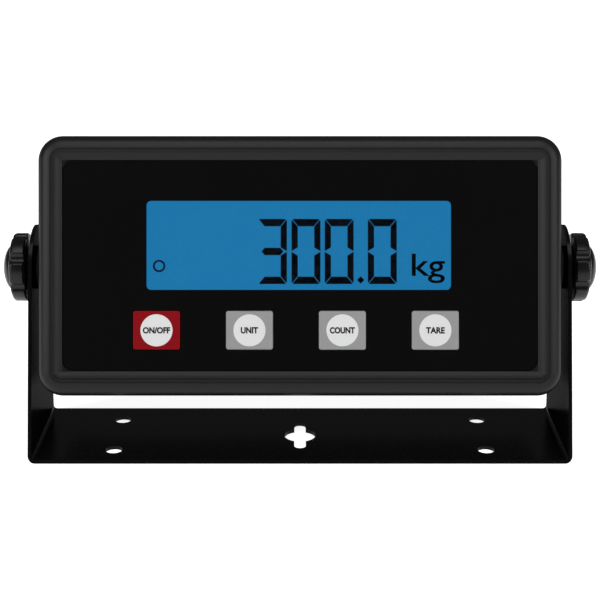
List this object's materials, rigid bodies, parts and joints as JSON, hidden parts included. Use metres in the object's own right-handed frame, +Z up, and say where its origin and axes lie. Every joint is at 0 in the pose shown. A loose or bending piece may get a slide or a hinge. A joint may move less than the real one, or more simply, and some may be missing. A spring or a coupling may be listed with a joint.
{
  "type": "weighing scale indicator",
  "caption": "Weighing scale indicator: a flat rounded head with a lit display and a row of keys, tilting between the arms of a U-bracket and clamped by star knobs.",
  "frame": {"origin": "centre of the bracket's screw holes, on the underside of its foot", "axes": "+X to the user's right, the display faces -Y, +Z up"},
  "size_m": [0.2462, 0.0833, 0.1264],
  "materials": {
    "bracket_steel": "glossy black powder coat",
    "case_abs": "fine-grained black ABS",
    "panel_film": "smooth black film",
    "window_clear": "clear polycarbonate",
    "lcd": "blue liquid crystal cell",
    "light_panel": "white acrylic light guide",
    "seal_rubber": "soft black rubber",
    "black_plastic": "moulded black plastic",
    "white_plastic": "natural nylon",
    "circuit_board": "green solder mask on glass fibre laminate",
    "chip": "black epoxy",
    "contact_metal": "plated brass",
    "bright_steel": "zinc plated steel",
    "can_metal": "drawn aluminium",
    "key_red": "red keycap",
    "key_grey": "grey keycap",
    "pill_carbon": "conductive rubber",
    "knob_black": "black nylon",
    "battery_case": "dark moulded ABS",
    "lead_red": "red insulated wire",
    "lead_black": "black insulated wire",
    "foam": "closed-cell foam",
    "brass": "turned brass"
  },
  "bodies": {
    "bracket": {"u_bracket": "bracket_steel"},
    "head": {"adc_chip": "chip", "backlight_panel": "light_panel", "battery": "battery_case", "battery_door": "case_abs", "battery_header": "white_plastic", "battery_lead_black": "lead_black", "battery_lead_red": "lead_red", "battery_pad": "foam", "battery_terminals": "contact_metal", "board_screws": "bright_steel", "buzzer": "black_plastic", "capacitors": "can_metal", "case_screws": "bright_steel", "case_seal": "seal_rubber", "controller_chip": "chip", "crystal": "can_metal", "display_window": "window_clear", "door_screws": "bright_steel", "friction_washers": "seal_rubber", "front_bezel": "case_abs", "keypad_board": "circuit_board", "keypad_header": "black_plastic", "keypad_screws": "bright_steel", "lcd_frame": "black_plastic", "lcd_glass": "lcd", "lcd_pins": "contact_metal", "load_cell_header": "white_plastic", "load_cell_leads": "lead_black", "load_cell_nut": "bright_steel", "load_cell_pins": "contact_metal", "load_cell_socket": "bright_steel", "main_board": "circuit_board", "overlay_panel": "panel_film", "pivot_inserts": "brass", "power_header": "white_plastic", "power_jack": "black_plastic", "power_jack_nut": "bright_steel", "power_leads": "lead_red", "rear_cover": "case_abs", "voltage_regulator": "chip"},
    "button_on_off": {"key_on_off": "key_red", "pill_on_off": "pill_carbon"},
    "button_unit": {"key_unit": "key_grey", "pill_unit": "pill_carbon"},
    "button_count": {"key_count": "key_grey", "pill_count": "pill_carbon"},
    "button_tare": {"key_tare": "key_grey", "pill_tare": "pill_carbon"},
    "washer_left": {"knob_washer_left": "bright_steel"},
    "knob_left": {"knob_grip_left": "knob_black", "knob_bolt_left": "bright_steel", "knob_cap_left": "knob_black"},
    "washer_right": {"knob_washer_right": "bright_steel"},
    "knob_right": {"knob_grip_right": "knob_black", "knob_bolt_right": "bright_steel", "knob_cap_right": "knob_black"}
  },
  "joints": [
    {"name": "head_tilt", "type": "hinge", "parent": "bracket", "child": "head", "pos_m": [0, 0.0164, 0.07], "axis": [1, 0, 0], "range_deg": [-72, 108]},
    {"name": "on_off_press", "type": "slide", "parent": "head", "child": "button_on_off", "axis": [0, 0.9511, -0.309], "range_m": [0, 0.0005], "stiffness_N_per_m": 1500, "springref_m": -0.001},
    {"name": "unit_press", "type": "slide", "parent": "head", "child": "button_unit", "axis": [0, 0.9511, -0.309], "range_m": [0, 0.0005], "stiffness_N_per_m": 1500, "springref_m": -0.001},
    {"name": "count_press", "type": "slide", "parent": "head", "child": "button_count", "axis": [0, 0.9511, -0.309], "range_m": [0, 0.0005], "stiffness_N_per_m": 1500, "springref_m": -0.001},
    {"name": "tare_press", "type": "slide", "parent": "head", "child": "button_tare", "axis": [0, 0.9511, -0.309], "range_m": [0, 0.0005], "stiffness_N_per_m": 1500, "springref_m": -0.001},
    {"name": "left_travel", "type": "slide", "parent": "head", "child": "washer_left", "axis": [-1, 0, 0], "range_m": [0, 0.002]},
    {"name": "left_turn", "type": "hinge", "parent": "washer_left", "child": "knob_left", "pos_m": [-0.118, 0.0164, 0.07], "axis": [-1, 0, 0], "range_deg": [0, 720]},
    {"name": "right_travel", "type": "slide", "parent": "head", "child": "washer_right", "axis": [1, 0, 0], "range_m": [0, 0.002]},
    {"name": "right_turn", "type": "hinge", "parent": "washer_right", "child": "knob_right", "pos_m": [0.118, 0.0164, 0.07], "axis": [1, 0, 0], "range_deg": [0, 720]}
  ],
  "couplings": [
    {"joint": "left_travel", "follows": "left_turn", "m_per_rad": 0.00015915},
    {"joint": "right_travel", "follows": "right_turn", "m_per_rad": 0.00015915}
  ]
}
